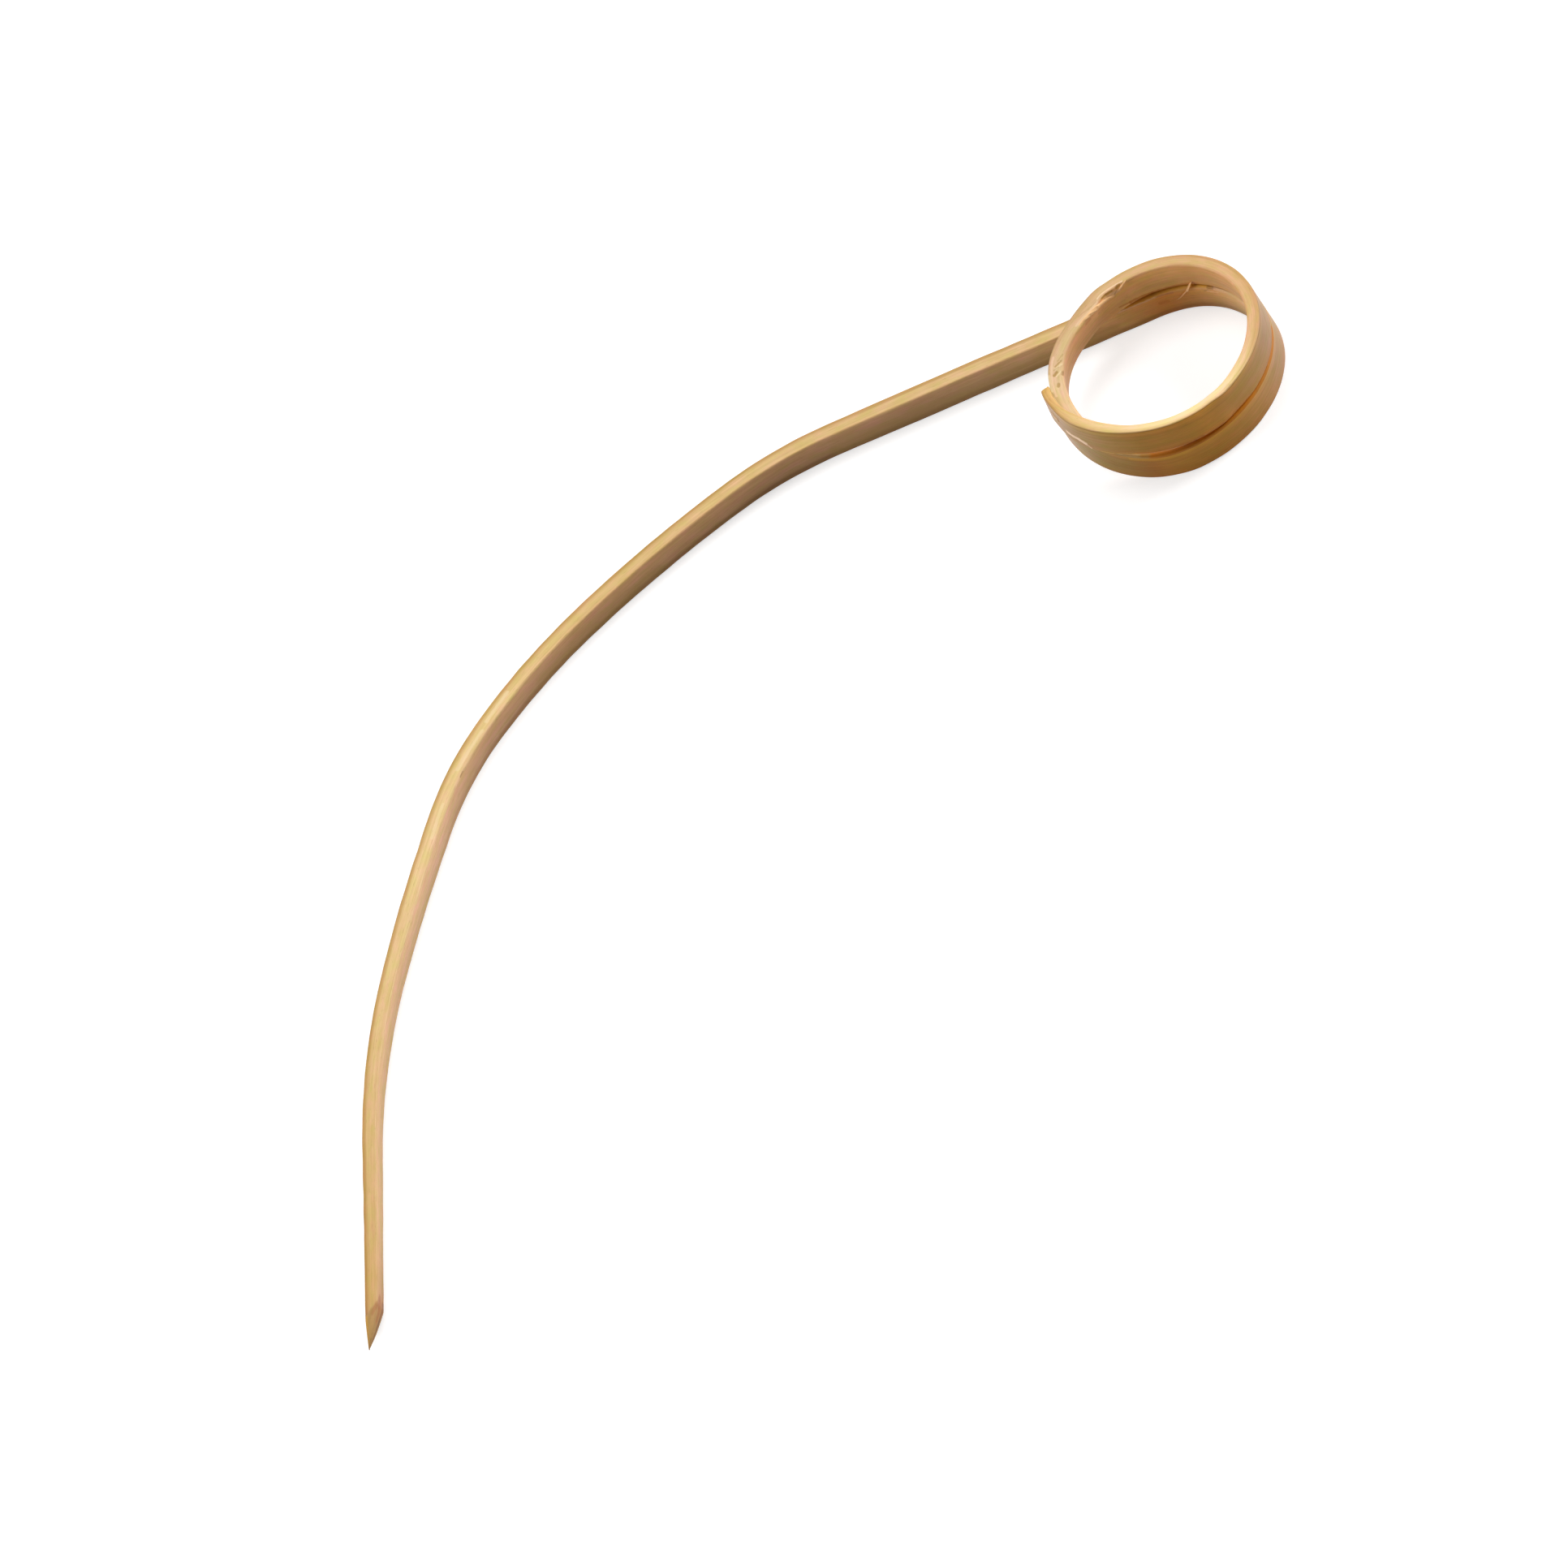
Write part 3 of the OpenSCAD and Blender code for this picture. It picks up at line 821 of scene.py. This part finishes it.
def face_colours(tree, along, place):
    """The colours of the top edge, the inner face and the outer face, which run into each other."""
    top, inner, outer = [tones(tree, along, STRIP_LENGTH, stops)
                         for stops in (TOP_TONES, INNER_TONES, OUTER_TONES)]
    on_inner = spread(tree, place, TOP_END - 0.08, INNER_START + 0.3)
    on_outer = maths(tree, "MAXIMUM", spread(tree, place, BOTTOM_END, OUTER_START),
                     spread(tree, place, 0, ARC * 0.9, 1.0, 0.0))
    return blend(tree, on_outer, blend(tree, on_inner, top, inner), outer)


def shade_section(tree, colour, along, place):
    """The colour with the tints round the section, partly painted light and shade, and along its edges."""
    stops = [(spot, tuple(part / BRIGHTEST for part in tint)) for spot, tint in SECTION_TONES_AND_SHADING]
    colour = times(tree, colour, tones(tree, place, ROUND_LENGTH, stops))
    colour = times(tree, colour, (BRIGHTEST, BRIGHTEST, BRIGHTEST))

    # brown line along the stem's outer top edge, fainter round the loop
    line = maths(tree, "MULTIPLY", spread(tree, place, 0.4, 0.85, 1.0, 0.0),
                 spread(tree, along, 150, 170, 1.0, 0.3))
    colour = tinted(tree, colour, line, PLAIN, (0.82, 0.73, 0.6))

    # painted shade, browner, on the foot of the stem's inner face and on its bottom edge
    foot_shade = maths(tree, "MULTIPLY", band(tree, place, 4.0, 4.6, 6.5, 6.8),
                 spread(tree, along, 160, 190, 1.0, 0.0))
    foot_shade = maths(tree, "MULTIPLY", foot_shade, spread(tree, along, 50, 85, 0.1, 1.0))
    colour = tinted(tree, colour, foot_shade, PLAIN, (0.66, 0.6, 0.48))

    # painted highlight, a little warm, along the corner between the top edge and the inner face
    corner = maths(tree, "MULTIPLY", band(tree, place, 1.5, 1.8, 1.9, 2.3), spread(tree, along, 78, 95))
    return tinted(tree, colour, corner, PLAIN, (1.05, 0.99, 1.0))


def make_bamboo():
    """Split bamboo, with its fibres, stains, knife cuts and loose slivers, and with light and shade painted
    into its colour.
    """
    material = bpy.data.materials.new("split bamboo")
    material.use_nodes = True
    tree = material.node_tree
    shade = tree.nodes["Principled BSDF"]
    uv = add_node(tree, "ShaderNodeUVMap", uv_map="strip").outputs["UV"]
    parts = add_node(tree, "ShaderNodeSeparateXYZ", {0: uv}).outputs
    along = maths(tree, "MULTIPLY", parts["X"], 100)
    place = maths(tree, "MULTIPLY", parts["Y"], 10)
    colour = shade_section(tree, face_colours(tree, along, place), along, place)

    # clouds and fibres, then dark flecks
    grain = {}
    for name, (length, width, seed, low_tint, high_tint) in GRAIN.items():
        grain[name] = fibres(tree, along, place, length, width, seed)
        colour = tinted(tree, colour, grain[name], low_tint, high_tint)
    fleck = spread(tree, fibres(tree, along, place, 1.1, 0.09, 13.0), 0.88, 1.0)
    colour = blend(tree, maths(tree, "MULTIPLY", fleck, 0.35), colour, BROWN)

    # knife cuts are barer, and browner towards the apex
    taken = add_node(tree, "ShaderNodeAttribute", attribute_name="cut").outputs["Fac"]
    cut = spread(tree, taken, 0.0, 0.06)
    bare = tones(tree, along, STRIP_LENGTH, CUT_TONES)
    colour = blend(tree, maths(tree, "MULTIPLY", cut, 0.8), colour, bare)
    colour = add_marks(tree, colour, along, place)

    # loose slivers are fresh, pale wood
    loose = add_node(tree, "ShaderNodeAttribute", attribute_name="loose").outputs["Fac"]
    pale = tinted(tree, LOOSE_WOOD, grain["fine"], (1.05, 1.05, 1.05), (0.9, 0.88, 0.85))
    colour = blend(tree, maths(tree, "MULTIPLY", loose, 0.9), colour, pale)
    tree.links.new(colour, shade.inputs["Base Color"])
    shade.inputs["Specular IOR Level"].default_value = 0.25

    rough = maths(tree, "ADD", maths(tree, "MULTIPLY", grain["fine"], 0.12), 0.4)
    tree.links.new(maths(tree, "ADD", rough, maths(tree, "MULTIPLY", cut, 0.15)), shade.inputs["Roughness"])
    height = maths(tree, "ADD", maths(tree, "MULTIPLY", grain["broad"], 0.6),
                   maths(tree, "MULTIPLY", grain["fine"], 0.4))
    bump = add_node(tree, "ShaderNodeBump", {"Height": height, "Strength": 0.5, "Distance": 0.03 * MM})
    tree.links.new(bump.outputs["Normal"], shade.inputs["Normal"])
    return material


strip.data.materials.append(make_bamboo())
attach(strip, "root")
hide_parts("skewer")


# Camera: a parallel view from the photograph's side, whose roll and place are read from the picture

CAMERA_TURN = 13.28 - degrees(LAY_TURN)
CAMERA_RISE = 46
CAMERA_ROLL = 32.8
PICTURE_PIXELS = 1932
PIXELS_PER_MM = 12.5
CAMERA_DISTANCE = 0.6
LOOP_PIXEL = (1456, 474.9)

side = Vector((cos(radians(CAMERA_TURN)), sin(radians(CAMERA_TURN)), 0))
away = Vector((-side.y, side.x, 0))
up = Vector((0, 0, 1))


def place_camera():
    tall = away * sin(radians(CAMERA_RISE)) + up * cos(radians(CAMERA_RISE))
    back = up * sin(radians(CAMERA_RISE)) - away * cos(radians(CAMERA_RISE))
    roll = radians(CAMERA_ROLL)
    right = side * cos(roll) - tall * sin(roll)
    top = side * sin(roll) + tall * cos(roll)
    shift_x = (LOOP_PIXEL[0] - PICTURE_PIXELS / 2) / PIXELS_PER_MM
    shift_y = (PICTURE_PIXELS / 2 - LOOP_PIXEL[1]) / PIXELS_PER_MM
    target = -MIDDLE - right * shift_x - top * shift_y
    data = bpy.data.cameras.new("camera")
    data.type = "ORTHO"
    data.ortho_scale = PICTURE_PIXELS / PIXELS_PER_MM * MM
    data.clip_start, data.clip_end = 0.01, 5
    camera = bpy.data.objects.new("camera", data)
    camera.rotation_mode = "QUATERNION"
    camera.rotation_quaternion = Matrix((right, top, back)).transposed().to_quaternion()
    camera.location = target * MM + back * CAMERA_DISTANCE
    bpy.context.scene.collection.objects.link(camera)
    bpy.context.scene.camera = camera


place_camera()


# Studio in metres: three soft lamps, a pale world and a white floor

def soft_box(name, where, width, height, level):
    """A lamp aimed at the middle, with its level as the light that it gives a facing surface."""
    data = bpy.data.lights.new(name, "AREA")
    data.shape, data.size, data.size_y = "RECTANGLE", width, height
    data.energy = level * pi * pi * where.length_squared
    lamp = bpy.data.objects.new(name, data)
    lamp.location = where
    lamp.rotation_mode = "QUATERNION"
    lamp.rotation_quaternion = (-where).to_track_quat("-Z", "Y")
    bpy.context.scene.collection.objects.link(lamp)


def light_world(level):
    """Even white light from all sides."""
    world = bpy.data.worlds.new("studio")
    world.use_nodes = True
    bpy.context.scene.world = world
    light = world.node_tree.nodes["Background"]
    light.inputs["Color"].default_value = (1, 1, 1, 1)
    light.inputs["Strength"].default_value = level


# Half the floor's side, and how far it lies under the skewer
FLOOR_HALF = 3000
FLOOR_DROP = 0.06


def make_floor():
    """White paper, which the camera and reflections see lit up to white."""
    bm = bmesh.new()
    bmesh.ops.create_grid(bm, x_segments=1, y_segments=1, size=FLOOR_HALF)
    bmesh.ops.translate(bm, vec=(0, 0, -FLOOR_DROP), verts=bm.verts)
    floor = bpy.data.objects.new("floor", make_mesh(bm, "floor"))
    bpy.context.scene.collection.objects.link(floor)
    paper = bpy.data.materials.new("white paper")
    paper.use_nodes = True
    tree = paper.node_tree
    sheet = tree.nodes["Principled BSDF"]
    sheet.inputs["Base Color"].default_value = (0.55, 0.55, 0.55, 1)
    sheet.inputs["Roughness"].default_value = 0.9
    sheet.inputs["Emission Color"].default_value = (1, 1, 1, 1)
    path = add_node(tree, "ShaderNodeLightPath").outputs
    seen = maths(tree, "MAXIMUM", path["Is Camera Ray"], path["Is Glossy Ray"])
    tree.links.new(maths(tree, "MULTIPLY", seen, 0.65), sheet.inputs["Emission Strength"])
    floor.data.materials.append(paper)


soft_box("lamp_over", away * 0.25 + up * 0.7, 0.5, 0.4, 0.5)
soft_box("lamp_right", side * 0.7 + away * 0.1 + up * 0.28, 0.35, 0.3, 0.8)
soft_box("lamp_left", -side * 0.7 + away * 0.1 + up * 0.28, 0.35, 0.3, 0.55)
light_world(0.16)
make_floor()
bpy.context.scene.view_settings.view_transform = "Standard"
